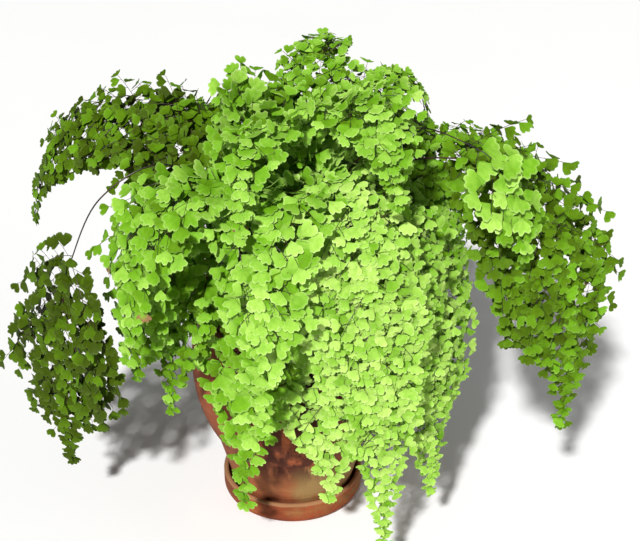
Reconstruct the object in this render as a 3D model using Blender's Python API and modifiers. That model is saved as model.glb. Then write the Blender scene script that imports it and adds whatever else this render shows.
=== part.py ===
"""Potted maidenhair fern: a round-bellied clay pot in a deep saucer, soil, crown and arching fronds.

Metres, +Z up. The origin is the centre of the saucer's underside and the front faces -Y.
"""

import math

import bmesh
import bpy
import numpy as np

GAP = 0.0003
TURN_STEPS = 40

SAUCER_RADIUS = 0.070
SAUCER_HEIGHT = 0.024
SAUCER_WALL = 0.005
SAUCER_FLOOR = 0.008
SAUCER_FILLET = 0.005
SAUCER_CORNER = 0.009

POT_BOTTOM = SAUCER_FLOOR + GAP
POT_TOP = 0.222
POT_WALL = 0.007
POT_RIM_RADIUS = 0.094
RIM_ROLL = (0.006, 0.008)
FOOT_RADIUS = 0.058
DRAIN_RADIUS = 0.010
# The belly is part of an ellipsoid; its angles are measured from the widest circle.
BELLY_RADIUS = 0.097
BELLY_Z = 0.150
BELLY_HALF_HEIGHT = 0.122
BELLY_TOP_ANGLE = 29
RIDGE_ANGLE = -37
RIDGE_STEP = 0.0015
SOIL_ANGLE = 26

SOIL_TOP = 0.203
CROWN_HEIGHT = 0.014
CROWN_RADIUS = 0.040

STEM_BASE_Z = SOIL_TOP + CROWN_HEIGHT + 0.002
STEM_RADIUS = (0.0014, 0.0005)
STALK_RINGS = 5
BLADE_STATIONS = 13
BLADE_THICKNESS = 0.0014
BLADE_LIFT = 0.0006
BLADE_DROOP = 0.16
BLADE_FOOT_HALF = 0.010
BLADE_TIP_HALF = 0.005
# Half-width along the blade, as shares of its length and of its widest half-width.
OUTLINE_PLACES = (0, 0.09, 0.26, 0.60, 1)
OUTLINE_WIDTHS = (0.20, 0.60, 1.0, 0.65, 0.10)
# The edge runs out to the tip of a pinna at every other station and falls back between them.
NOTCH_WIDTH = 0.60
LOBE_REACH = 0.30
NOTCH_REACH = 0.10

# Each frond: name, azimuth, radius of the stem's base, reach of the tip, height of the arch, height of
# the tip, outward bulge of the arch as a share of the reach, bare share of the length, width, roll
# about the midrib and further twist at the tip.
# Azimuths run counterclockwise from +X. Angles are in degrees and lengths in metres.
FRONDS = [
    # low fronds, which hang in front of the pot, beside it and behind it
    ("front_left", 251, 0.030, 0.129, 0.300, 0.075, 0.90, 0.38, 0.090, 8, 0),
    ("front_middle", 287, 0.030, 0.128, 0.295, 0.078, 0.90, 0.38, 0.105, 10, 0),
    ("right_front", 320, 0.035, 0.170, 0.305, 0.068, 0.95, 0.40, 0.115, 10, 0),
    ("right_low", 335, 0.030, 0.155, 0.300, 0.140, 0.95, 0.40, 0.100, 25, 15),
    ("right_hanging", 357, 0.030, 0.165, 0.340, 0.200, 0.95, 0.42, 0.085, 20, 20),
    ("left_low", 218, 0.030, 0.138, 0.310, 0.150, 0.95, 0.40, 0.105, -10, -10),
    ("back_right_low", 42, 0.030, 0.160, 0.320, 0.120, 0.90, 0.38, 0.110, 12, 0),
    ("back_low", 88, 0.030, 0.150, 0.310, 0.100, 0.90, 0.38, 0.110, 12, 0),
    ("back_left_low", 134, 0.030, 0.155, 0.320, 0.110, 0.90, 0.38, 0.110, 12, 0),
    # middle fronds, which arch outwards
    ("left_arch", 167, 0.024, 0.252, 0.390, 0.270, 0.95, 0.38, 0.112, -30, -10),
    ("left_long", 197, 0.026, 0.220, 0.370, 0.078, 1.12, 0.60, 0.160, -20, -45),
    ("left_middle", 208, 0.030, 0.158, 0.340, 0.178, 0.95, 0.38, 0.110, -8, 0),
    ("left_fore", 226, 0.022, 0.195, 0.380, 0.235, 0.95, 0.36, 0.110, 6, 0),
    ("fore_middle", 263, 0.022, 0.178, 0.375, 0.190, 0.90, 0.36, 0.115, 12, 0),
    ("fore_right", 284, 0.023, 0.160, 0.355, 0.190, 0.90, 0.36, 0.110, 12, 0),
    ("front_right", 298, 0.022, 0.182, 0.385, 0.044, 0.95, 0.40, 0.120, 10, 0),
    ("right_fore", 318, 0.024, 0.162, 0.345, 0.205, 0.90, 0.36, 0.110, 15, 0),
    ("young", 330, 0.018, 0.230, 0.420, 0.328, 0.95, 0.76, 0.088, 10, 0),
    ("right_long", 341, 0.026, 0.264, 0.385, 0.130, 1.10, 0.44, 0.158, 25, 40),
    ("right_arch", 11, 0.024, 0.262, 0.366, 0.255, 0.95, 0.40, 0.100, 16, 15),
    ("back_right", 52, 0.024, 0.230, 0.375, 0.220, 0.90, 0.38, 0.115, 12, 0),
    ("back", 95, 0.024, 0.225, 0.375, 0.210, 0.90, 0.38, 0.115, 12, 0),
    ("back_left", 134, 0.024, 0.230, 0.375, 0.230, 0.90, 0.38, 0.115, 12, 0),
    # upper fronds, which close the top
    ("top_left", 170, 0.010, 0.062, 0.425, 0.395, 0.95, 0.46, 0.100, -20, 0),
    ("top_front", 256, 0.010, 0.150, 0.422, 0.360, 0.95, 0.46, 0.105, 8, 0),
    ("top_right", 306, 0.010, 0.155, 0.448, 0.375, 0.95, 0.46, 0.105, 0, 0),
    ("top_back_right", 28, 0.010, 0.145, 0.418, 0.368, 0.95, 0.46, 0.105, 12, 0),
    ("top_back", 72, 0.010, 0.132, 0.436, 0.388, 0.95, 0.46, 0.100, -10, 0),
]


def bezier(points, t):
    a, b, c, d = points
    t = t[:, None]
    return (1 - t) ** 3 * a + 3 * (1 - t) ** 2 * t * b + 3 * (1 - t) * t * t * c + t**3 * d


def polar(radius, degrees, height):
    angle = math.radians(degrees)
    return np.array((radius * math.cos(angle), radius * math.sin(angle), height))


def frond_frames(row):
    """Points along a frond at its stations, with the tangent, the side and the face normal at each."""
    _, azimuth, base, reach, crest, tip, bulge, stalk, _, roll, twist = row
    rise = (crest - (STEM_BASE_Z + tip) / 8) / 0.75
    controls = (
        polar(base, azimuth, STEM_BASE_Z),
        polar(base + 0.10 * reach, azimuth, rise),
        polar(bulge * reach, azimuth, rise),
        polar(reach, azimuth, tip),
    )
    fine = bezier(controls, np.linspace(0, 1, 241))
    length = np.concatenate([[0], np.cumsum(np.linalg.norm(np.diff(fine, axis=0), axis=1))])
    shares = np.concatenate([
        np.linspace(0, stalk, STALK_RINGS, endpoint=False),
        np.linspace(stalk, 1, BLADE_STATIONS),
    ])
    t = np.interp(shares * length[-1], length, np.linspace(0, 1, 241))
    points = bezier(controls, t)
    step = 1e-4
    tangents = bezier(controls, t + step) - bezier(controls, t - step)
    tangents /= np.linalg.norm(tangents, axis=1)[:, None]
    across = polar(1, azimuth + 90, 0)
    sides = across - (tangents @ across)[:, None] * tangents
    sides /= np.linalg.norm(sides, axis=1)[:, None]
    normals = np.cross(tangents, sides)
    turn = np.radians(roll + twist * np.clip((shares - stalk) / (1 - stalk), 0, 1))[:, None]
    rolled = sides * np.cos(turn) + normals * np.sin(turn)
    return points, tangents, rolled, np.cross(tangents, rolled)


def stem_radii(count):
    return np.linspace(STEM_RADIUS[0], STEM_RADIUS[1], count)


def blade_grid(row):
    """Vertices of a blade's lower face, three across, alternating between pinna tips and the gaps."""
    points, tangents, sides, normals = (a[STALK_RINGS:] for a in frond_frames(row))
    radii = stem_radii(STALK_RINGS + BLADE_STATIONS)[STALK_RINGS:]
    lift = (radii + GAP + BLADE_LIFT)[:, None]
    share = np.linspace(0, 1, BLADE_STATIONS)
    at_pinna = np.arange(BLADE_STATIONS) % 2 == 1
    outline = np.interp(share, OUTLINE_PLACES, OUTLINE_WIDTHS)
    half = row[8] / 2 * outline * np.where(at_pinna, 1.0, NOTCH_WIDTH)
    half[0] = BLADE_FOOT_HALF
    half[-1] = BLADE_TIP_HALF
    middle = points + normals * lift
    grid = []
    for sign in (-1, 0, 1):
        reach = abs(sign) * half[:, None]
        ahead = np.where(at_pinna, LOBE_REACH, NOTCH_REACH)[:, None] * reach
        grid.append(middle + sign * reach * sides + ahead * tangents - BLADE_DROOP * reach * normals)
    return np.stack(grid, axis=1)


def clear_scene():
    for scene_object in list(bpy.data.objects):
        bpy.data.objects.remove(scene_object, do_unlink=True)


def material(name, colour, roughness):
    made = bpy.data.materials.new(name)
    made.use_nodes = True
    shader = made.node_tree.nodes["Principled BSDF"]
    shader.inputs["Base Color"].default_value = (*colour, 1)
    shader.inputs["Roughness"].default_value = roughness
    shader.inputs["Metallic"].default_value = 0
    return made


def add_object(name, data, surface):
    made = bpy.data.objects.new(name, data)
    made.data.materials.append(surface)
    fern.objects.link(made)
    return made


def turned(name, profile, surface, closed=True, steps=TURN_STEPS):
    """A profile of (radius, height) points, down the outer side from the top, spun about Z."""
    mesh = bpy.data.meshes.new(name)
    edges = [(i, i + 1) for i in range(len(profile) - 1)]
    if closed:
        edges.append((len(profile) - 1, 0))
    mesh.from_pydata([(radius, 0, height) for radius, height in profile], edges, [])
    made = add_object(name, mesh, surface)
    screw = made.modifiers.new("turn", "SCREW")
    screw.steps = screw.render_steps = steps
    screw.use_merge_vertices = True
    screw.merge_threshold = 1e-5
    screw.use_smooth_shade = True
    return made


def arc(centre, radii, start, end, count):
    """Points along an elliptical arc in the (radius, height) plane, angles in degrees."""
    angles = [math.radians(start + (end - start) * i / (count - 1)) for i in range(count)]
    return [(centre[0] + radii[0] * math.cos(a), centre[1] + radii[1] * math.sin(a)) for a in angles]


def saucer_profile():
    """A deep dish, from the middle of its floor up the inner wall, over the lip and down outside."""
    inner_wall = SAUCER_RADIUS - SAUCER_WALL
    fillet_centre = (inner_wall - SAUCER_FILLET, SAUCER_FLOOR + SAUCER_FILLET)
    floor = arc(fillet_centre, (SAUCER_FILLET, SAUCER_FILLET), -90, 0, 4)
    lip = [(inner_wall, SAUCER_HEIGHT - 0.001), (inner_wall + 0.001, SAUCER_HEIGHT)]
    lip += [(SAUCER_RADIUS - 0.002, SAUCER_HEIGHT), (SAUCER_RADIUS, SAUCER_HEIGHT - 0.002)]
    base = arc((SAUCER_RADIUS - SAUCER_CORNER, SAUCER_CORNER), (SAUCER_CORNER, SAUCER_CORNER), 0, -90, 5)
    return [(0, SAUCER_FLOOR)] + floor + lip + base + [(0, 0)]


def pot_profile():
    """The clay wall: rolled rim, round belly, ridge, straight taper, and a floor with a drain hole."""
    rim = arc((POT_RIM_RADIUS - RIM_ROLL[0], POT_TOP - RIM_ROLL[1]), RIM_ROLL, 90, -50, 6)
    belly = arc((0, BELLY_Z), (BELLY_RADIUS, BELLY_HALF_HEIGHT), BELLY_TOP_ANGLE, RIDGE_ANGLE, 9)
    foot = [(FOOT_RADIUS + 0.001, POT_BOTTOM + 0.002), (FOOT_RADIUS - 0.001, POT_BOTTOM)]
    hole = [(DRAIN_RADIUS, POT_BOTTOM), (DRAIN_RADIUS, POT_BOTTOM + POT_WALL)]
    ridge_radius, ridge_z = belly[-1]
    below_ridge = [(ridge_radius - RIDGE_STEP, ridge_z - RIDGE_STEP)]
    top = [(POT_RIM_RADIUS - 0.012, POT_TOP - 0.003)]
    return rim + belly + below_ridge + foot + hole + pot_lining(0) + top


def pot_lining(inset):
    """The inside of the pot's wall from its floor upwards, moved inwards by inset."""
    low = FOOT_RADIUS - 0.3 * POT_WALL - inset
    shell = POT_WALL + inset
    radii = (BELLY_RADIUS - shell, BELLY_HALF_HEIGHT - shell)
    floor = [(low, POT_BOTTOM + POT_WALL + inset)]
    return floor + arc((0, BELLY_Z), radii, RIDGE_ANGLE, SOIL_ANGLE, 8)


def soil_profile():
    """The packed soil, from the middle of its slightly domed top down to the pot's floor."""
    wall = pot_lining(GAP)[::-1]
    edge_radius, edge_z = wall[0]
    top = [(0, SOIL_TOP), (CROWN_RADIUS + 0.005, SOIL_TOP - 0.0002)]
    bottom = [(0, POT_BOTTOM + POT_WALL + GAP)]
    return top + [(edge_radius - 0.006, edge_z + 0.001)] + wall + bottom


def crown_profile():
    """The low mound of rhizome that the stems grow from."""
    foot_z = SOIL_TOP + GAP
    return arc((0, foot_z), (CROWN_RADIUS, CROWN_HEIGHT), 90, 0, 7) + [(0, foot_z)]


def add_stem(row):
    points = frond_frames(row)[0][:-1]
    curve = bpy.data.curves.new("stem_" + row[0], "CURVE")
    curve.dimensions = "3D"
    curve.bevel_depth = STEM_RADIUS[0]
    curve.bevel_resolution = 0
    curve.use_fill_caps = True
    spline = curve.splines.new("POLY")
    spline.points.add(len(points) - 1)
    radii = stem_radii(len(points) + 1) / STEM_RADIUS[0]
    for spline_point, place, radius in zip(spline.points, points, radii):
        spline_point.co = (*place, 1)
        spline_point.radius = radius
    return add_object("stem_" + row[0], curve, stalk_brown)


def add_blade(row):
    """A thin lobed plate that lies on the stem's upper side and follows it to the tip."""
    places = blade_grid(row)
    shape = bmesh.new()
    bmesh.ops.create_grid(shape, x_segments=2, y_segments=BLADE_STATIONS - 1, size=1)
    for vert in shape.verts:
        column = 1 - round(vert.co.x)
        station = round((vert.co.y + 1) / 2 * (BLADE_STATIONS - 1))
        vert.co = places[station, column]
    mesh = bpy.data.meshes.new("blade_" + row[0])
    shape.to_mesh(mesh)
    shape.free()
    mesh.shade_smooth()
    made = add_object("blade_" + row[0], mesh, young_green if row[0] == "young" else leaf_green)
    solid = made.modifiers.new("thickness", "SOLIDIFY")
    solid.thickness = BLADE_THICKNESS
    solid.offset = 1
    return made


clear_scene()
fern = bpy.data.collections.new("potted_maidenhair_fern")
bpy.context.scene.collection.children.link(fern)

clay = material("terracotta", (0.42, 0.14, 0.06), 0.85)
earth = material("potting_soil", (0.035, 0.022, 0.014), 0.95)
root_brown = material("rhizome", (0.07, 0.035, 0.018), 0.9)
stalk_brown = material("stalk", (0.035, 0.015, 0.010), 0.45)
leaf_green = material("leaf", (0.20, 0.45, 0.05), 0.6)
young_green = material("young_leaf", (0.42, 0.66, 0.14), 0.55)

turned("saucer", saucer_profile(), clay, closed=False)
turned("pot", pot_profile(), clay)
turned("soil", soil_profile(), earth, closed=False)
turned("crown", crown_profile(), root_brown, closed=False)
for frond in FRONDS:
    add_stem(frond)
    add_blade(frond)
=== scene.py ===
import collections
import math
import random

import bmesh
import bpy
from mathutils import Matrix, Vector, noise
from mathutils.bvhtree import BVHTree


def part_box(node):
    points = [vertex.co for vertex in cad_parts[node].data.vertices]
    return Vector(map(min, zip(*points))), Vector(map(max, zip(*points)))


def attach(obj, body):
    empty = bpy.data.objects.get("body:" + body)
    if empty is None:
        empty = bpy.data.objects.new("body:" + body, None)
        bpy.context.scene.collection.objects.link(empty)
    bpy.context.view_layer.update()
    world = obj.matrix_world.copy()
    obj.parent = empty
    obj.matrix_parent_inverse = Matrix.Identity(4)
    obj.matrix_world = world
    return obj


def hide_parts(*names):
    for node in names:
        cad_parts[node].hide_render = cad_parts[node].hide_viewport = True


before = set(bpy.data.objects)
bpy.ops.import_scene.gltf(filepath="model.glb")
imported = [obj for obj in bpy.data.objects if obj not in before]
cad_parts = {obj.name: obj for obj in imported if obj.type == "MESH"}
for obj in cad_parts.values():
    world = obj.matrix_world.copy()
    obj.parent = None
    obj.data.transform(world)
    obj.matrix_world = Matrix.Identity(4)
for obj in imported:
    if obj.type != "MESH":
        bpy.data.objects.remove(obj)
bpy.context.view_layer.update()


# ---------------------------------------------------------------- saucer
# A deep round dish of fired red clay, turned on a wheel and left unglazed. Water stands in it, so
# the wall is stained olive by algae. The lip is paler, partly worn and partly a painted highlight on its top.
saucer_low, saucer_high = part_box("saucer")
SAUCER_WALL = 0.005
SAUCER_FLOOR = 0.008
SAUCER_CORNER = 0.009
SAUCER_FILLET = 0.005
SAUCER_LIP = 0.0022
FLOOR_RING = 0.030
TURN_STEPS = 128


def arc(centre, radii, start, end, count):
    """Points (radius, height) along an elliptical arc, with its angles in degrees."""
    angles = [math.radians(start + (end - start) * i / (count - 1)) for i in range(count)]
    return [(centre[0] + radii[0] * math.cos(a), centre[1] + radii[1] * math.sin(a)) for a in angles]


def add_piece(name, shape, material, node):
    """The finished bmesh as an object that stands for one CAD node."""
    mesh = bpy.data.meshes.new(name)
    shape.to_mesh(mesh)
    shape.free()
    return add_object(name, mesh, material, node)


def add_object(name, data, material, node):
    piece = bpy.data.objects.new(name, data)
    bpy.context.scene.collection.objects.link(piece)
    piece.data.materials.append(material)
    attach(piece, "root")
    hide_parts(node)
    return piece


def spun(outline, wobble, closed):
    """An outline of (radius, height) points turned about Z, uneven by wobble as freshly thrown clay is."""
    shape = bmesh.new()
    verts = [shape.verts.new((radius, 0, height)) for radius, height in outline]
    edges = [shape.edges.new(pair) for pair in zip(verts, verts[1:])]
    if closed:
        edges.append(shape.edges.new((verts[-1], verts[0])))
    bmesh.ops.spin(shape, geom=verts + edges, cent=(0, 0, 0), axis=(0, 0, 1), angle=2 * math.pi,
                   steps=TURN_STEPS, use_merge=True)
    bmesh.ops.remove_doubles(shape, verts=shape.verts, dist=1e-5)
    bmesh.ops.recalc_face_normals(shape, faces=shape.faces)
    for vert in shape.verts:
        outward = Vector((vert.co.x, vert.co.y, 0))
        if outward.length > 1e-4:
            vert.co += outward.normalized() * wobble * noise.noise(vert.co * 14)
    for face in shape.faces:
        face.smooth = True
    for edge in shape.edges:
        edge.smooth = edge.calc_face_angle(0) < math.radians(40)
    return shape


def add(tree, kind, inputs=(), **settings):
    """One shader node, with its settings and with values or other nodes' outputs on its inputs."""
    made = tree.nodes.new("ShaderNode" + kind)
    for setting, value in settings.items():
        setattr(made, setting, value)
    for socket, value in dict(inputs).items():
        if isinstance(value, bpy.types.NodeSocket):
            tree.links.new(value, made.inputs[socket])
        else:
            made.inputs[socket].default_value = value
    return made


def maths(tree, operation, first, second=0.0, third=0.0, clamp=False):
    return add(tree, "Math", {0: first, 1: second, 2: third}, operation=operation, use_clamp=clamp).outputs[0]


def remap(tree, value, low, high, to_low=0.0, to_high=1.0):
    """A value between low and high as a smooth step from to_low to to_high."""
    inputs = {"Value": value, "From Min": low, "From Max": high, "To Min": to_low, "To Max": to_high}
    return add(tree, "MapRange", inputs, interpolation_type="SMOOTHSTEP").outputs["Result"]


def mix(tree, share, first, second, mode="MIX"):
    """Two colours mixed: share 0 is the first and 1 is the second."""
    inputs = {0: share, 6: first, 7: second}
    return add(tree, "Mix", inputs, data_type="RGBA", blend_type=mode).outputs[2]


def speckle(tree, place, scale, detail=3.0, roughness=0.55):
    inputs = {"Vector": place, "Scale": scale, "Detail": detail, "Roughness": roughness}
    return add(tree, "TexNoise", inputs).outputs[0]


def stretched(tree, place, scale):
    return add(tree, "Mapping", {"Vector": place, "Scale": scale}).outputs[0]


def new_group(name, inputs, outputs):
    """An empty node group with (label, type, value) inputs and (label, type) outputs."""
    tree = bpy.data.node_groups.new(name, "ShaderNodeTree")
    for label, kind, value in inputs:
        socket = tree.interface.new_socket(label, in_out="INPUT", socket_type="NodeSocket" + kind)
        if value is not None:
            socket.default_value = value
    for label, kind in outputs:
        tree.interface.new_socket(label, in_out="OUTPUT", socket_type="NodeSocket" + kind)
    return tree, tree.nodes.new("NodeGroupInput").outputs, tree.nodes.new("NodeGroupOutput").inputs


def place_group(tree, group, inputs):
    made = add(tree, "Group", node_tree=group)
    for socket, value in inputs.items():
        if isinstance(value, bpy.types.NodeSocket):
            tree.links.new(value, made.inputs[socket])
        else:
            made.inputs[socket].default_value = value
    return made.outputs


def new_material(name, **sockets):
    """A material with its Principled shader; plain values are set straight on the shader."""
    made = bpy.data.materials.new(name)
    made.use_nodes = True
    shader = made.node_tree.nodes["Principled BSDF"]
    for socket, value in sockets.items():
        shader.inputs[socket.replace("_", " ").title().replace("Ior", "IOR")].default_value = value
    return made, made.node_tree, shader


def wire_bump(tree, shader, height, strength, distance):
    bump = add(tree, "Bump", {"Height": height, "Strength": strength, "Distance": distance})
    tree.links.new(bump.outputs[0], shader.inputs["Normal"])


def fired_clay_group():
    """Mottled fired clay: its colour, and the height of its grain, pits and turning rings."""
    inputs = [("Place", "Vector", None), ("Dark", "Color", (0.1, 0.03, 0.01, 1)),
              ("Body", "Color", (0.3, 0.1, 0.04, 1)), ("Light", "Color", (0.5, 0.2, 0.1, 1))]
    tree, given, out = new_group("fired_clay", inputs, [("Colour", "Color"), ("Height", "Float")])
    place = given["Place"]
    clouds = speckle(tree, place, 16, 5, 0.6)
    smears = speckle(tree, stretched(tree, place, (1, 1, 4)), 28, 4, 0.6)
    grains = speckle(tree, place, 900, 2, 0.7)
    colour = mix(tree, remap(tree, clouds, 0.35, 0.62), given["Dark"], given["Body"])
    colour = mix(tree, remap(tree, smears, 0.52, 0.74, 0, 0.75), colour, given["Light"])
    colour = mix(tree, remap(tree, grains, 0.35, 0.75, 0.0, 0.35), colour, (0.16, 0.06, 0.03, 1))
    rings = add(tree, "TexWave", {"Vector": place, "Scale": 55, "Distortion": 1.2, "Detail": 2},
                bands_direction="Z").outputs[1]
    pits = add(tree, "TexVoronoi", {"Vector": place, "Scale": 420}).outputs["Distance"]
    height = maths(tree, "MULTIPLY_ADD", rings, 0.35, maths(tree, "MULTIPLY", grains, 0.6))
    height = maths(tree, "ADD", height, remap(tree, pits, 0.0, 0.22, -0.5, 0.0))
    tree.links.new(colour, out["Colour"])
    tree.links.new(height, out["Height"])
    return tree


def clay_height_band_group():
    """A ragged mask from 0 to 1 on clay, strongest at one height: salt bloom, algae, and the saucer lip's
    pale band, which is partly painted highlight.
    """
    inputs = [("Place", "Vector", None), ("Level", "Float", 0.05), ("Depth", "Float", 0.02),
              ("Scale", "Float", 30.0), ("Amount", "Float", 0.5)]
    tree, given, out = new_group("clay_height_band", inputs, [("Mask", "Float")])
    height = add(tree, "SeparateXYZ", {0: given["Place"]}).outputs["Z"]
    away = maths(tree, "ABSOLUTE", maths(tree, "SUBTRACT", height, given["Level"]))
    near = maths(tree, "SUBTRACT", 1.0, maths(tree, "DIVIDE", away, given["Depth"]), clamp=True)
    cloud = speckle(tree, given["Place"], given["Scale"], 5, 0.65)
    both = maths(tree, "ADD", cloud, maths(tree, "MULTIPLY", given["Amount"], near))
    ragged = remap(tree, both, 0.58, 0.92)
    fade = maths(tree, "MINIMUM", maths(tree, "MULTIPLY", near, 3.0), 1.0)
    tree.links.new(maths(tree, "MULTIPLY", ragged, fade), out["Mask"])
    return tree


fired_clay = fired_clay_group()
clay_height_band = clay_height_band_group()


def saucer_clay():
    material, tree, shader = new_material("red_terracotta", roughness=0.8, specular_ior_level=0.15)
    place = add(tree, "TexCoord").outputs["Object"]
    clay = place_group(tree, fired_clay, {"Place": place, "Dark": (0.16, 0.036, 0.014, 1),
                                          "Body": (0.35, 0.064, 0.021, 1), "Light": (0.39, 0.13, 0.046, 1)})
    colour = clay["Colour"]
    algae = place_group(tree, clay_height_band, {"Place": place, "Level": 0.016, "Depth": 0.022,
                                           "Scale": 34.0, "Amount": 0.22})["Mask"]
    side = remap(tree, add(tree, "SeparateXYZ", {0: place}).outputs["X"], -0.02, 0.06, 0.35, 1.0)
    colour = mix(tree, maths(tree, "MULTIPLY", algae, side), colour, (0.20, 0.145, 0.048, 1))
    # The pale band along the top of the lip is partly wear and partly a painted highlight where the lip faces
    # up to the light.
    lip = place_group(tree, clay_height_band, {"Place": place, "Level": saucer_high.z, "Depth": 0.0035,
                                         "Scale": 60.0, "Amount": 0.9})["Mask"]
    colour = mix(tree, maths(tree, "MULTIPLY", lip, 0.60), colour, (0.36, 0.21, 0.10, 1))
    tree.links.new(colour, shader.inputs["Base Color"])
    wire_bump(tree, shader, clay["Height"], 0.55, 0.0006)
    return material


def saucer_outline():
    """From the middle of the floor up the inner wall, over the rounded lip and down the outside."""
    radius, height = saucer_high.x, saucer_high.z
    inner = radius - SAUCER_WALL
    fillet = (SAUCER_FILLET, SAUCER_FILLET)
    floor = arc((inner - SAUCER_FILLET, SAUCER_FLOOR + SAUCER_FILLET), fillet, -90, 0, 6)
    lip = arc((inner + SAUCER_WALL / 2, height - SAUCER_LIP), (SAUCER_WALL / 2, SAUCER_LIP), 180, 0, 9)
    base = arc((radius - SAUCER_CORNER, SAUCER_CORNER), (SAUCER_CORNER, SAUCER_CORNER), 0, -90, 9)
    inside = [(0, SAUCER_FLOOR), (FLOOR_RING, SAUCER_FLOOR)]
    return inside + floor + lip + base + [(FLOOR_RING, 0), (0, 0)]


add_piece("clay_saucer", spun(saucer_outline(), 0.0004, False), saucer_clay(), "saucer")


# ---------------------------------------------------------------- pot
# A round-bellied flower pot of the same fired clay, thrown with a rolled rim and a ridge where the
# belly meets the tapering foot. Hard water has left a pale bloom low down. Above it at the front, dark
# vertical runs are painted shadow of the fronds that hang over the pot.
pot_low, pot_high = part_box("pot")
POT_WALL = 0.007
POT_RIM_RADIUS = 0.094
POT_RIM_ROLL = (0.006, 0.008)
POT_FOOT_RADIUS = 0.058
DRAIN_RADIUS = 0.010
DRAIN_CHAMFER = 0.001
BELLY_Z = 0.150
BELLY_HALF_HEIGHT = 0.122
BELLY_TOP_ANGLE = 29
RIDGE_ANGLE = -37
RIDGE_STEP = 0.0015
SOIL_ANGLE = 26


def pot_lining(inset):
    """The inside of the pot's wall from its floor upwards, moved inwards by inset."""
    low = POT_FOOT_RADIUS - 0.3 * POT_WALL - inset
    shell = POT_WALL + inset
    radii = (pot_high.x - shell, BELLY_HALF_HEIGHT - shell)
    floor = [(low, pot_low.z + POT_WALL + inset)]
    return floor + arc((0, BELLY_Z), radii, RIDGE_ANGLE, SOIL_ANGLE, 14)


def pot_outline():
    """Rolled rim, belly, ridge, straight taper to the foot, and a floor with its drain hole."""
    top, bottom = pot_high.z, pot_low.z
    rim = arc((POT_RIM_RADIUS - POT_RIM_ROLL[0], top - POT_RIM_ROLL[1]), POT_RIM_ROLL, 90, -50, 12)
    belly = arc((0, BELLY_Z), (pot_high.x, BELLY_HALF_HEIGHT), BELLY_TOP_ANGLE, RIDGE_ANGLE, 20)
    ridge_radius, ridge_z = belly[-1]
    taper = [(ridge_radius - 0.0004, ridge_z - 0.0008), (ridge_radius - RIDGE_STEP, ridge_z - RIDGE_STEP)]
    foot = arc((POT_FOOT_RADIUS - 0.0015, bottom + 0.002), (0.002, 0.002), 0, -90, 5)
    hole = [(DRAIN_RADIUS + DRAIN_CHAMFER, bottom), (DRAIN_RADIUS, bottom + DRAIN_CHAMFER)]
    hole.append((DRAIN_RADIUS, bottom + POT_WALL - DRAIN_CHAMFER))
    hole.append((DRAIN_RADIUS + DRAIN_CHAMFER, bottom + POT_WALL))
    return rim + belly + taper + foot + hole + pot_lining(0) + [(POT_RIM_RADIUS - 0.012, top - 0.003)]


def pot_clay():
    material, tree, shader = new_material("weathered_terracotta", roughness=0.85, specular_ior_level=0.2)
    place = add(tree, "TexCoord").outputs["Object"]
    clay = place_group(tree, fired_clay, {"Place": place, "Dark": (0.20, 0.055, 0.024, 1),
                                          "Body": (0.34, 0.085, 0.029, 1), "Light": (0.38, 0.125, 0.045, 1)})
    colour = clay["Colour"]
    spot = add(tree, "SeparateXYZ", {0: place}).outputs
    bloom = place_group(tree, clay_height_band, {"Place": place, "Level": 0.046, "Depth": 0.036,
                                           "Scale": 22.0, "Amount": 0.50})["Mask"]
    patches = speckle(tree, place, 11, 2, 0.5)
    worn = remap(tree, maths(tree, "MULTIPLY_ADD", spot["X"], 9.0, patches), 0.42, 0.68, 0.15, 0.9)
    colour = mix(tree, maths(tree, "MULTIPLY", bloom, worn), colour, (0.30, 0.195, 0.070, 1))
    # Painted shadow: dark vertical runs at the front, above the bloom, stand for the shadow of the fronds
    # hanging over the pot.
    shadow_stripes = speckle(tree, stretched(tree, place, (1, 1, 0.07)), 60, 3, 0.6)
    above = remap(tree, spot["Z"], 0.036, 0.075)
    middle = remap(tree, maths(tree, "ABSOLUTE", spot["X"]), 0.018, 0.055, 1.0, 0.22)
    frond_shadow_zone = maths(tree, "MULTIPLY", above, middle)
    painted_frond_shadow = maths(tree, "MULTIPLY", remap(tree, shadow_stripes, 0.38, 0.52), frond_shadow_zone)
    colour = mix(tree, maths(tree, "MULTIPLY", painted_frond_shadow, 0.88), colour, (0.050, 0.012, 0.007, 1))
    tree.links.new(colour, shader.inputs["Base Color"])
    wire_bump(tree, shader, clay["Height"], 0.5, 0.0006)
    return material


add_piece("clay_pot", spun(pot_outline(), 0.0005, True), pot_clay(), "pot")


# ---------------------------------------------------------------- soil
# Dark peat compost packed to just under the rim, with fine crumbs, chips of bark and white grains
# of perlite lying on it.
soil_low, soil_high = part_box("soil")
SOIL_EDGE_RADIUS = 0.079
SOIL_GAP = 0.0003
CRUMB_COUNT = 420
PERLITE_COUNT = 60
BARK_COUNT = 70
STREWN_RADII = (0.040, 0.078)


def compost():
    material, tree, shader = new_material("peat_compost", roughness=0.95, specular_ior_level=0.15)
    place = add(tree, "TexCoord").outputs["Object"]
    clods = speckle(tree, place, 120, 6, 0.7)
    fibres = speckle(tree, stretched(tree, place, (1, 3, 1)), 380, 3, 0.7)
    colour = mix(tree, remap(tree, clods, 0.35, 0.7), (0.012, 0.008, 0.005, 1), (0.055, 0.033, 0.018, 1))
    colour = mix(tree, remap(tree, fibres, 0.6, 0.75, 0, 0.7), colour, (0.13, 0.075, 0.035, 1))
    tree.links.new(colour, shader.inputs["Base Color"])
    wire_bump(tree, shader, maths(tree, "ADD", clods, fibres), 0.9, 0.0015)
    return material


def soil_outline():
    """From the middle of the top out to the wall, then down the pot's lining to its floor."""
    wall = pot_lining(SOIL_GAP)[::-1]
    surface = [(SOIL_EDGE_RADIUS * i / 12, soil_high.z - 0.0015) for i in range(13)]
    return surface + wall + [(0, soil_low.z)]


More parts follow.
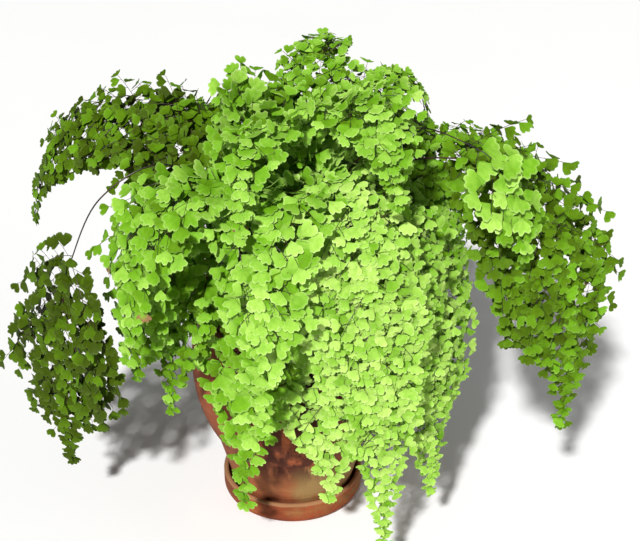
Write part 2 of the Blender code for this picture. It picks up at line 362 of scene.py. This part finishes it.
def roughen_soil(shape):
    for vert in shape.verts:
        if vert.co.z > soil_high.z - 0.004 and vert.co.to_2d().length < SOIL_EDGE_RADIUS + 0.001:
            vert.co.z += 0.0016 * noise.noise(vert.co * 60) + 0.0009 * noise.noise(vert.co * 210)
    return shape


def scattered(count, size, flatness, seed):
    """Small broken lumps strewn over the soil between the crown and the wall."""
    draw = random.Random(seed)
    heap = bmesh.new()
    for _ in range(count):
        radius = STREWN_RADII[0] + (STREWN_RADII[1] - STREWN_RADII[0]) * math.sqrt(draw.random())
        angle = draw.uniform(0, 2 * math.pi)
        lump = size * draw.uniform(0.5, 1.3)
        place = Matrix.Translation((radius * math.cos(angle), radius * math.sin(angle), soil_high.z - 0.0008))
        turn = Matrix.Rotation(draw.uniform(0, 6.28), 4, "Z")
        tilt = Matrix.Rotation(draw.uniform(-0.5, 0.5), 4, "X")
        squeeze = Matrix.Diagonal((lump * draw.uniform(0.8, 1.5), lump, lump * flatness, 1))
        matrix = place @ turn @ tilt @ squeeze
        made = bmesh.ops.create_icosphere(heap, subdivisions=1, radius=1, matrix=matrix)
        for vert in made["verts"]:
            vert.co += noise.noise_vector(vert.co * 900) * 0.25 * lump
    return heap


peat = compost()
add_piece("potting_soil", roughen_soil(spun(soil_outline(), 0.0, False)), peat, "soil")
add_piece("soil_crumbs", scattered(CRUMB_COUNT, 0.0011, 0.7, 3), peat, "soil")


def perlite():
    material, tree, shader = new_material("perlite", roughness=0.9)
    place = add(tree, "TexCoord").outputs["Object"]
    pores = speckle(tree, place, 900, 4, 0.7)
    colour = mix(tree, pores, (0.45, 0.42, 0.36, 1), (0.85, 0.83, 0.78, 1))
    tree.links.new(colour, shader.inputs["Base Color"])
    wire_bump(tree, shader, pores, 0.6, 0.0006)
    return material


def bark():
    material, tree, shader = new_material("bark_chips", roughness=0.85)
    place = add(tree, "TexCoord").outputs["Object"]
    layers = speckle(tree, stretched(tree, place, (1, 1, 6)), 260, 4, 0.6)
    colour = mix(tree, layers, (0.035, 0.017, 0.009, 1), (0.17, 0.085, 0.040, 1))
    tree.links.new(colour, shader.inputs["Base Color"])
    wire_bump(tree, shader, layers, 0.6, 0.0008)
    return material


add_piece("perlite_grains", scattered(PERLITE_COUNT, 0.0013, 0.8, 5), perlite(), "soil")
add_piece("bark_pieces", scattered(BARK_COUNT, 0.0028, 0.35, 7), bark(), "soil")


# ---------------------------------------------------------------- crown
# The fern's rootstock: short woody rhizomes creeping over each other in the middle of the pot,
# covered in brown papery scales, with the snapped stubs of old stalks standing on them.
crown_low, crown_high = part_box("crown")
RHIZOME_COUNT = 11
STUB_COUNT = 26


def rhizome_bark():
    material, tree, shader = new_material("scaly_rhizome", roughness=0.85, specular_ior_level=0.25)
    place = add(tree, "TexCoord").outputs["Object"]
    scales = add(tree, "TexVoronoi", {"Vector": stretched(tree, place, (1, 1, 2.2)), "Scale": 420}).outputs
    tint = speckle(tree, place, 150, 4, 0.6)
    colour = mix(tree, tint, (0.030, 0.014, 0.008, 1), (0.16, 0.080, 0.038, 1))
    colour = mix(tree, remap(tree, scales["Distance"], 0.1, 0.7, 0, 0.5), colour, (0.012, 0.006, 0.004, 1))
    tree.links.new(colour, shader.inputs["Base Color"])
    wire_bump(tree, shader, scales["Distance"], 0.9, 0.0012)
    return material


def rhizomes():
    """Lumpy creeping lengths that together fill the low mound of the crown."""
    draw = random.Random(11)
    mound = bmesh.new()
    middle = (crown_low + crown_high) / 2
    spread = crown_high.x - 0.011
    for i in range(RHIZOME_COUNT):
        angle = i * 2.4
        radius = spread * math.sqrt((i + 0.5) / RHIZOME_COUNT)
        depth = 1 - 0.45 * (radius / spread) ** 2
        place = Matrix.Translation((radius * math.cos(angle), radius * math.sin(angle), crown_low.z + 0.003))
        turn = Matrix.Rotation(angle + draw.uniform(0.6, 2.2), 4, "Z")
        size = Matrix.Diagonal((draw.uniform(0.012, 0.016), draw.uniform(0.007, 0.009), 0.0100 * depth, 1))
        lump = bmesh.ops.create_icosphere(mound, subdivisions=3, radius=1, matrix=place @ turn @ size)
        for vert in lump["verts"]:
            vert.co += (vert.co - middle).normalized() * 0.0016 * noise.noise(vert.co * 240)
            vert.co.z = max(vert.co.z, crown_low.z - 0.0015)
    for _ in range(STUB_COUNT):
        angle, radius = draw.uniform(0, 6.28), spread * math.sqrt(draw.random())
        lean_x = Matrix.Rotation(draw.uniform(-0.5, 0.5), 4, "X")
        lean_y = Matrix.Rotation(draw.uniform(-0.5, 0.5), 4, "Y")
        foot = Matrix.Translation((radius * math.cos(angle), radius * math.sin(angle), crown_low.z + 0.010))
        bmesh.ops.create_cone(mound, cap_ends=True, segments=7, radius1=0.0013, radius2=0.0009,
                              depth=draw.uniform(0.006, 0.013), matrix=foot @ lean_x @ lean_y)
    for face in mound.faces:
        face.smooth = True
    return mound


add_piece("fern_crown", rhizomes(), rhizome_bark(), "crown")


# ---------------------------------------------------------------- fronds
# Each frond is a wiry, polished near-black stalk that arches from the crown and carries alternate
# side branches. The leaflets hang from these on hair-thin stalks: thin fans with a lobed outer edge.
# A stalk's points are STEP apart, and RING_REACH takes in one ring of vertices of a CAD stem.
STEP = 0.002
RING_REACH = 0.004
STALK_RADII = (0.0010, 0.00032)
BRANCH_RADII = (0.00034, 0.00020)
TWIG_RADIUS = 0.00018
# Leaflets and the gaps between branches and between leaflets, in leaflet lengths.
LEAFLET_THICKNESS = 0.026
LEAFLET_WIDTHS = (0.86, 1.08)
LEAFLET_CURLS = (0.4, 1.3)
LEAFLET_SIZES = (0.82, 1.14)
BRANCH_SPACING = 0.62
LEAFLET_SPACING = 0.54
# Leaflets lie in layers up to LAYER_DEPTH from the middle one, and the lower ones are made older, so darker,
# as painted shade under the upper layers.
LAYER_DEPTH = 0.0022
LAYER_SHADE = 0.13
DRY_SHARE = 0.0005
TURN_TO_LIGHT = 0.62
# The young frond and the two longest are bare up to the blade. The others carry small branches from
# LEAFY_FROM of the way there.
BARE_STALKED = ("left_long", "right_long", "young")
LEAFY_FROM = 0.62
# A branch leans forward by BRANCH_LEAN degrees, by as much again at the tip, and sags as it gets longer.
BRANCH_LEAN = 26
BRANCH_SAG = 0.11
BRANCH_REACH = (1.08, 1.22)
# A branch longer than TWIGGY_FROM leaflets carries twigs on the first TWIGGY_SHARE of its length.
TWIGGY_FROM = 2.2
TWIGGY_SHARE = 0.7
TWIG_LENGTHS = (1.1, 1.5)
# How long the branches are along a blade, as pairs of (share of the blade, share of its half-width).
BRANCH_OUTLINE = ((0.0, 0.50), (0.09, 0.82), (0.26, 1.0), (0.60, 0.64), (0.85, 0.27), (1.0, 0.05))
LONG_OUTLINE = ((0.0, 0.85), (0.08, 1.05), (0.26, 1.02), (0.50, 0.66), (0.72, 0.35), (0.88, 0.15),
                (1.0, 0.04))
BLUNT_OUTLINE = ((0.0, 0.50), (0.09, 0.82), (0.26, 1.0), (0.60, 0.80), (0.85, 0.50), (1.0, 0.12))
OWN_OUTLINES = {"left_long": LONG_OUTLINE, "right_long": LONG_OUTLINE, "right_low": BLUNT_OUTLINE}
# Fronds whose branches reach past their CAD blade, by how much.
FULLER = {"front_left": 1.25, "front_middle": 1.2, "right_low": 1.2, "left_arch": 1.15, "top_left": 1.2,
          "top_right": 1.35, "left_middle": 1.45, "left_fore": 1.2}
# Leaflet length in metres and age, from 0 fresh to 1 old, of each frond. The age also carries painted
# shade: the long fronds at the far left and right are set older, so darker, than those at the front middle.
HABITS = {
    "front_left": (0.0160, 0.50), "front_middle": (0.0125, 0.14), "right_front": (0.0098, 0.26),
    "right_low": (0.0105, 0.30), "right_hanging": (0.0100, 0.44), "left_low": (0.0125, 0.58),
    "back_right_low": (0.0115, 0.55), "back_low": (0.0115, 0.50), "back_left_low": (0.0115, 0.55),
    "left_arch": (0.0112, 0.86), "left_long": (0.0120, 1.0), "left_middle": (0.0130, 0.56),
    "left_fore": (0.0150, 0.48), "fore_middle": (0.0145, 0.36), "fore_right": (0.0105, 0.18),
    "front_right": (0.0105, 0.22), "right_fore": (0.0095, 0.28), "young": (0.0160, 0.38),
    "right_long": (0.0115, 0.76), "right_arch": (0.0100, 0.68), "back_right": (0.0115, 0.60),
    "back": (0.0115, 0.55), "back_left": (0.0115, 0.60), "top_left": (0.0150, 0.49),
    "top_front": (0.0130, 0.43), "top_right": (0.0115, 0.42), "top_back_right": (0.0110, 0.50),
    "top_back": (0.0100, 0.50),
}


def stalk_gloss():
    material, tree, shader = new_material("polished_stalk", roughness=0.32, specular_ior_level=0.5)
    place = add(tree, "TexCoord").outputs["Object"]
    tint = speckle(tree, place, 60, 3, 0.5)
    colour = mix(tree, remap(tree, tint, 0.4, 0.65), (0.010, 0.005, 0.004, 1), (0.055, 0.022, 0.012, 1))
    tree.links.new(colour, shader.inputs["Base Color"])
    wire_bump(tree, shader, speckle(tree, stretched(tree, place, (1, 1, 0.2)), 1500, 2), 0.2, 0.0002)
    return material


def leaflet_surface_group():
    """A leaflet's colour and vein height from its fan coordinates, its age with painted shade added, and how
    dry it is.
    """
    inputs = [("Fan", "Vector", None), ("Place", "Vector", None), ("Age", "Float", 0.5),
              ("Dry", "Float", 0.0)]
    tree, given, out = new_group("leaflet_surface", inputs, [("Colour", "Color"), ("Height", "Float")])
    fan = add(tree, "SeparateXYZ", {0: given["Fan"]}).outputs
    across, along = fan["X"], fan["Y"]
    cloud = speckle(tree, given["Place"], 260, 3)
    blotch = speckle(tree, given["Place"], 45, 3)
    age = maths(tree, "ADD", given["Age"], remap(tree, blotch, 0.3, 0.7, -0.08, 0.08))
    ramp = add(tree, "ValToRGB", {0: age})
    stops = [(0.0, (0.53, 0.77, 0.17, 1)), (0.22, (0.37, 0.65, 0.090, 1)), (0.5, (0.175, 0.40, 0.016, 1)),
             (0.75, (0.108, 0.215, 0.005, 1)), (1.0, (0.050, 0.082, 0.002, 1))]
    ramp.color_ramp.elements[0].position, ramp.color_ramp.elements[0].color = stops[0]
    ramp.color_ramp.elements[1].position, ramp.color_ramp.elements[1].color = stops[-1]
    for position, colour in stops[1:-1]:
        ramp.color_ramp.elements.new(position).color = colour
    colour = mix(tree, remap(tree, cloud, 0.35, 0.7, 0, 0.40), ramp.outputs[0],
                 (0.55, 0.72, 0.30, 1), "MULTIPLY")
    sway = maths(tree, "MULTIPLY_ADD", cloud, 1.4, maths(tree, "MULTIPLY", across, 62.0))
    coarse = maths(tree, "SINE", sway)
    fine = maths(tree, "SINE", maths(tree, "MULTIPLY", sway, 2.0))
    outer = remap(tree, along, 0.35, 0.65)
    veins = add(tree, "Mix", {0: outer, 2: coarse, 3: fine}).outputs[0]
    line = remap(tree, veins, 0.45, 1.0)
    colour = mix(tree, maths(tree, "MULTIPLY", line, 0.55), colour, (0.70, 0.90, 0.52, 1), "SOFT_LIGHT")
    # The paler margin on fresh leaflets is partly their own pale edge and partly a painted highlight along
    # the lit lobed edge.
    edge = remap(tree, along, 0.84, 0.98)
    pale = maths(tree, "MULTIPLY", edge, remap(tree, age, 0.0, 0.8, 0.40, 0.04))
    colour = mix(tree, pale, colour, (0.75, 0.92, 0.38, 1))
    # Darker towards the foot of the leaflet: partly the dark stalk colour running into its base and partly
    # painted shade where leaflets overlap.
    foot = remap(tree, along, 0.70, 0.0, 0, 0.55)
    colour = mix(tree, foot, colour, (0.55, 0.62, 0.45, 1), "MULTIPLY")
    crisp = maths(tree, "MULTIPLY", given["Dry"], remap(tree, maths(tree, "ADD", along, cloud), 0.7, 1.25))
    colour = mix(tree, crisp, colour, (0.30, 0.17, 0.075, 1))
    tree.links.new(colour, out["Colour"])
    tree.links.new(maths(tree, "MULTIPLY_ADD", cloud, 0.5, line), out["Height"])
    return tree


leaflet_surface = leaflet_surface_group()


def leaf_green(name, roughness):
    material, tree, shader = new_material(name, roughness=roughness, specular_ior_level=0.07)
    fan = add(tree, "UVMap", uv_map="fan").outputs[0]
    place = add(tree, "TexCoord").outputs["Object"]
    age = add(tree, "Attribute", attribute_name="age").outputs["Fac"]
    dry = add(tree, "Attribute", attribute_name="dry").outputs["Fac"]
    surface = place_group(tree, leaflet_surface, {"Fan": fan, "Place": place, "Age": age, "Dry": dry})
    tree.links.new(surface["Colour"], shader.inputs["Base Color"])
    wire_bump(tree, shader, surface["Height"], 0.6, 0.0006)
    return material


def leaflet_pattern(lobes, columns, spread, notch, skew, curl):
    """One leaflet a unit long: a fan of half-angle spread, its outer edge cut into rounded lobes."""
    def margin(across):
        lobe = 1 - abs(math.sin(math.pi * lobes * (across + 1) / 2))
        return (1 + skew * across) * (1 - 0.16 * across ** 6) * (1 - notch * lobe ** 3)

    shape = bmesh.new()
    bmesh.ops.create_grid(shape, x_segments=columns, y_segments=2, size=1)
    for vert in shape.verts:
        across, along = vert.co.x, (vert.co.y + 1) / 2
        radius, angle = along ** 0.7 * margin(across), across * spread
        vert.co = (radius * math.cos(angle), -radius * math.sin(angle), 0)
    bmesh.ops.remove_doubles(shape, verts=shape.verts, dist=1e-4)
    bmesh.ops.recalc_face_normals(shape, faces=shape.faces)
    bmesh.ops.solidify(shape, geom=shape.faces, thickness=LEAFLET_THICKNESS)
    layer = shape.loops.layers.uv.new("fan")
    for face in shape.faces:
        face.smooth = True
        for loop in face.loops:
            x, y, _ = loop.vert.co
            across = math.atan2(-y, x) / spread if math.hypot(x, y) > 1e-3 else 0.0
            loop[layer].uv = (0.5 + across / 2, math.hypot(x, y) / margin(across))
    for edge in shape.edges:
        edge.smooth = edge.calc_face_angle(0) < math.radians(60)
    for vert in shape.verts:
        x, y, _ = vert.co
        vert.co.z += curl * (0.35 * abs(y) - 0.45 * x * x) + 0.03 * math.sin(9 * y + 4 * x)
    mesh = bpy.data.meshes.new("leaflet_pattern")
    shape.to_mesh(mesh)
    shape.free()
    for label in ("age", "dry"):
        mesh.attributes.new(label, "FLOAT", "POINT")
    return mesh


# Lobes, columns of faces, half-angle, depth of the notches, lopsidedness and curl of each kind.
PATTERNS = [
    leaflet_pattern(3, 9, math.radians(54), 0.20, 0.06, 0.35),
    leaflet_pattern(4, 12, math.radians(58), 0.15, -0.08, 0.25),
    leaflet_pattern(2, 10, math.radians(48), 0.23, 0.04, -0.20),
    leaflet_pattern(5, 10, math.radians(56), 0.08, -0.05, 0.45),
    leaflet_pattern(3, 9, math.radians(46), 0.15, -0.12, 0.15),
    leaflet_pattern(4, 12, math.radians(52), 0.12, 0.12, 0.50),
]


def merged_node(node):
    shape = bmesh.new()
    shape.from_mesh(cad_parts[node].data)
    bmesh.ops.remove_doubles(shape, verts=shape.verts, dist=1e-5)
    return shape


def stalk_centres(node):
    """The middles of the rings of vertices along a CAD stem, from its foot to its tip."""
    shape = merged_node(node)
    root = Vector((0, 0, crown_high.z))
    foot = min(shape.verts, key=lambda vert: (vert.co - root).length_squared).co
    ring = [vert for vert in shape.verts if (vert.co - foot).length < RING_REACH]
    seen, centres = set(ring), []
    while ring:
        centres.append(sum((vert.co for vert in ring), Vector()) / len(ring))
        beyond = [edge.other_vert(vert) for vert in ring for edge in vert.link_edges]
        ring = [vert for vert in dict.fromkeys(beyond) if vert not in seen]
        seen.update(ring)
    shape.free()
    return centres


def smooth_line(knots):
    """Points every STEP along a smooth curve through the knots, carried a little past the last."""
    knots = [2 * knots[0] - knots[1]] + knots + [1.9 * knots[-1] - 0.9 * knots[-2]]
    knots.append(2 * knots[-1] - knots[-2])
    line = []
    for a, b, c, d in zip(knots, knots[1:], knots[2:], knots[3:]):
        count = max(1, round((c - b).length / STEP))
        for t in (i / count for i in range(count)):
            line.append(0.5 * (2 * b + (c - a) * t + (2 * a - 5 * b + 4 * c - d) * t ** 2
                               + (3 * b - a - 3 * c + d) * t ** 3))
    return line


def unit_across(vector, axis):
    """The part of a vector that is square to an axis, one long."""
    return (vector - vector.dot(axis) * axis).normalized()


def frond_stations(name):
    """Place, direction and face normal along a frond, with where its blade starts and its half-width."""
    line = smooth_line(stalk_centres("stem_" + name))
    shape = merged_node("blade_" + name)
    blade = BVHTree.FromBMesh(shape)
    past = 2 * line[-1] - line[-2]
    ahead = [(b - a).normalized() for a, b in zip([line[0]] + line, line[1:] + [past])]
    faces, start = [], None
    for i, (place, along) in enumerate(zip(line, ahead)):
        near = [normal for spot, normal, _, _ in blade.find_nearest_range(place, 0.010)
                if normal.dot(spot - place) > 0]
        if near and start is None:
            start = i
        faces.append(unit_across(sum(near, Vector()), along) if near else None)
    last = next(face for face in faces if face)
    for i, face in enumerate(faces):
        last = faces[i] = face or last
    window = range(-4, 5)
    faces = [unit_across(sum((faces[min(max(i + k, 0), len(faces) - 1)] for k in window), Vector()), ahead[i])
             for i in range(len(faces))]
    half = 0
    for vert in shape.verts:
        i = min(range(start, len(line)), key=lambda k: (line[k] - vert.co).length_squared)
        half = max(half, abs((vert.co - line[i]).dot(ahead[i].cross(faces[i]))))
    shape.free()
    return list(zip(line, ahead, faces)), start, half


def outline_share(outline, share):
    """The height of an outline at a share of its length."""
    for (a, low), (b, high) in zip(outline, outline[1:]):
        if share <= b:
            return low + (high - low) * (share - a) / (b - a)
    return outline[-1][1]


def new_stalks(name):
    curve = bpy.data.curves.new(name, "CURVE")
    curve.dimensions = "3D"
    curve.bevel_depth = 0.001
    curve.bevel_resolution = 1
    curve.use_fill_caps = True
    return curve


def run_stalk(curve, points, radii):
    """A stalk through the points, tapering from the first radius to the second."""
    spline = curve.splines.new("POLY")
    spline.points.add(len(points) - 1)
    for i, (spot, place) in enumerate(zip(spline.points, points)):
        spot.co = (*place, 1)
        spot.radius = (radii[0] + (radii[1] - radii[0]) * i / (len(points) - 1)) / 0.001


Frond = collections.namedtuple("Frond", "stalks blades draw age")


def hang_leaflet(frond, pattern, foot, along, face, size, age, dry):
    """One leaflet with its foot at a place, pointing along a direction and facing another."""
    along = along.normalized()
    face = unit_across(face, along)
    width = frond.draw.uniform(*LEAFLET_WIDTHS)
    curl = frond.draw.uniform(*LEAFLET_CURLS)
    columns = (along * size, face.cross(along) * size * width, face * size * curl)
    place = Matrix([(*row, at) for row, at in zip(zip(*columns), foot)] + [(0, 0, 0, 1)])
    leaflet = pattern.copy()
    leaflet.transform(place)
    for label, value in (("age", age), ("dry", dry)):
        leaflet.attributes[label].data.foreach_set("value", [value] * len(leaflet.vertices))
    frond.blades.from_mesh(leaflet)
    bpy.data.meshes.remove(leaflet)


def jitter(draw, amount):
    return Vector([draw.uniform(-amount, amount) for _ in range(3)])


DOWN = Vector((0, 0, -1))
WINDOW = Vector((-0.10, -0.80, 0.60))


def add_leaflet(frond, node, along, facing, size):
    """A leaflet on its own hair-thin stalk, in one of the layers of the blade."""
    draw = frond.draw
    along = along.normalized()
    layer = draw.uniform(-1, 1)
    lift = facing * (0.0009 + LAYER_DEPTH * layer)
    foot = node + along * size * 0.16 + lift
    bow = node + along * size * 0.08 + lift * 0.7
    run_stalk(frond.stalks, [node, bow, foot], (TWIG_RADIUS, TWIG_RADIUS * 0.8))
    dry = 1.0 if draw.random() < DRY_SHARE * (1 + 8 * frond.age ** 3) else 0.0
    pattern = draw.choice(PATTERNS)
    turned = facing + jitter(draw, 0.26)
    own_size = size * draw.uniform(*LEAFLET_SIZES)
    # Painted shade: leaflets in the lower layers are made older, so a darker green, for the shade under the
    # upper ones.
    own_age_and_shade = frond.age - LAYER_SHADE * layer + draw.gauss(0, 0.08)
    hang_leaflet(frond, pattern, foot, along, turned, own_size, own_age_and_shade, dry)


def sunward(place, face):
    """The way a leaflet faces: with its frond, turned to the window in front or else outwards."""
    outward = Vector((place.x, place.y, 0)).normalized()
    lit = min(1.0, max(0.0, 0.85 - 4 * place.y))
    light = WINDOW * lit + outward * (1 - lit)
    return face * TURN_TO_LIGHT * min(1.0, max(0.1, 0.35 + face.dot(light))) + light * TURN_TO_LIGHT


def grow_branch(frond, foot, heading, bend, face, length, size, divided):
    """A side branch with alternate leaflets, or with small twigs of them where it is divided."""
    draw = frond.draw
    count = max(1, round(length / (size * LEAFLET_SPACING)))
    spots = [length * i / count for i in range(count + 1)]
    axis = [foot + heading * t + bend * t * t / BRANCH_SAG for t in spots]
    run_stalk(frond.stalks, axis, BRANCH_RADII if divided else (BRANCH_RADII[1], TWIG_RADIUS))
    side = 1 if draw.random() < 0.5 else -1
    for i in range(1, count + 1):
        pointing = (axis[i] - axis[i - 1]).normalized()
        hang = unit_across(DOWN + 1e-3 * pointing, face) * max(0.0, 1 - face.z)
        droop = hang * 0.40 + DOWN * (0.16 + 0.16 * max(0.0, face.z))
        side = -side
        outward = pointing.cross(face) * side
        facing = sunward(axis[i], face)
        if i == count:
            along = pointing * 0.9 + droop + jitter(draw, 0.2)
            add_leaflet(frond, axis[i], along, facing, size * 0.85)
        elif divided and i < TWIGGY_SHARE * count:
            turned = outward * 0.85 + pointing * 0.45 + face * draw.uniform(-0.35, 0.30) + droop * 0.5
            twig_length = size * draw.uniform(*TWIG_LENGTHS)
            grow_branch(frond, axis[i], turned.normalized(), bend, face, twig_length, size, False)
        else:
            along = outward * 0.8 + pointing * 0.6 + droop + jitter(draw, 0.2)
            add_leaflet(frond, axis[i], along, facing, size)


def grow_frond(name, seed):
    """The stalk of one CAD frond with its side branches and leaflets, as two pieces."""
    size, age = HABITS[name]
    draw = random.Random(seed)
    stations, start, half = frond_stations(name)
    start = round(start * (1.0 if name in BARE_STALKED else LEAFY_FROM))
    outline = OWN_OUTLINES.get(name, BRANCH_OUTLINE)
    half *= FULLER.get(name, 1.0)
    frond = Frond(new_stalks(name + "_stalks"), bmesh.new(), draw, age)
    run_stalk(frond.stalks, [place for place, _, _ in stations[::3]] + [stations[-1][0]], STALK_RADII)
    stride = max(1, round(BRANCH_SPACING * size / STEP))
    side = 1 if seed % 2 else -1
    for i in range(start + 1, len(stations) - 2, stride):
        place, ahead, face = stations[i]
        share = (i - start) / (len(stations) - 1 - start)
        lean = math.radians(BRANCH_LEAN + BRANCH_LEAN * share + draw.uniform(-7, 7))
        reach = half * outline_share(outline, share) * draw.uniform(*BRANCH_REACH)
        length = max(0.5 * size, reach - 0.55 * size)
        rise = face * draw.uniform(-0.16, 0.20) + DOWN * 0.25 * max(0.0, face.z)
        heading = (ahead.cross(face) * side * math.cos(lean) + ahead * math.sin(lean) + rise).normalized()
        bend = ahead * 0.35 + DOWN * 0.30 - face * 0.10 + jitter(draw, 0.12)
        here = size * (1.04 - 0.30 * share ** 2)
        grow_branch(frond, place, heading, bend, face, length, here, length > TWIGGY_FROM * size)
        for lean_to in (-0.5, 0.15):
            node = place + face * 0.0012 + ahead * here * (lean_to + 0.5)
            along = ahead + heading * lean_to + jitter(draw, 0.25)
            add_leaflet(frond, node, along, sunward(place, face), here * 0.95)
        side = -side
    place, ahead, face = stations[-1]
    hang_leaflet(frond, PATTERNS[0], place, ahead, face, size * 0.65, age, 0.0)
    green, slot = (young_leaf, "young_leaf") if name == "young" else (leaf, "leaf")
    add_object("frond_" + name + "_stalks", frond.stalks, stalk_black, "stem_" + name)
    add_piece("frond_" + name + "_leaflets", frond.blades, green, "blade_" + name)


stalk_black = stalk_gloss()
leaf = leaf_green("maidenhair_leaf", 0.50)
young_leaf = leaf_green("young_maidenhair_leaf", 0.42)
frond_names = sorted(node[len("stem_"):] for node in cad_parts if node.startswith("stem_"))
for number, name in enumerate(frond_names):
    grow_frond(name, 100 + number)


# ---------------------------------------------------------------- floor, light and camera
# Not part of the fern: a plain pale floor, a sun from the upper left in front, a weak soft light from
# the right, a faint white sky, and a camera that looks down on the plant from the front.
CAMERA_PLACE = (0.0278, -1.1282, 0.873)
CAMERA_PITCH = 61
CAMERA_LENS = 77.06


def add_floor():
    shape = bmesh.new()
    bmesh.ops.create_grid(shape, x_segments=1, y_segments=1, size=6)
    mesh = bpy.data.meshes.new("floor")
    shape.to_mesh(mesh)
    shape.free()
    floor = bpy.data.objects.new("floor", mesh)
    bpy.context.scene.collection.objects.link(floor)
    material, tree, shader = new_material("pale_floor", roughness=0.9)
    tint = speckle(tree, add(tree, "TexCoord").outputs["Object"], 3, 2)
    tree.links.new(mix(tree, tint, (0.93, 0.93, 0.92, 1), (0.96, 0.96, 0.95, 1)), shader.inputs["Base Color"])
    floor.data.materials.append(material)


def add_light(name, kind, place, target, power):
    light = bpy.data.lights.new(name, kind)
    light.energy = power
    lamp = bpy.data.objects.new(name, light)
    lamp.location = place
    lamp.rotation_euler = (Vector(target) - Vector(place)).to_track_quat("-Z", "Y").to_euler()
    bpy.context.scene.collection.objects.link(lamp)
    return light


add_floor()
add_light("key_light", "SUN", (-0.35, -1.2, 1.15), (0, 0, 0), 4.1).angle = math.radians(4)
fill = add_light("fill_light", "AREA", (1.3, -0.6, 1.2), (0.0, 0.0, 0.25), 4)
fill.shape = "DISK"
fill.size = 1.2
world = bpy.data.worlds.new("studio")
world.use_nodes = True
world.node_tree.nodes["Background"].inputs["Color"].default_value = (1, 1, 1, 1)
world.node_tree.nodes["Background"].inputs["Strength"].default_value = 0.16
bpy.context.scene.world = world
bpy.context.scene.view_settings.view_transform = "Standard"

camera = bpy.data.objects.new("camera", bpy.data.cameras.new("camera"))
camera.data.lens = CAMERA_LENS
camera.data.sensor_width = 36
camera.location = CAMERA_PLACE
camera.rotation_euler = (math.radians(CAMERA_PITCH), 0, 0)
bpy.context.scene.collection.objects.link(camera)
bpy.context.scene.camera = camera
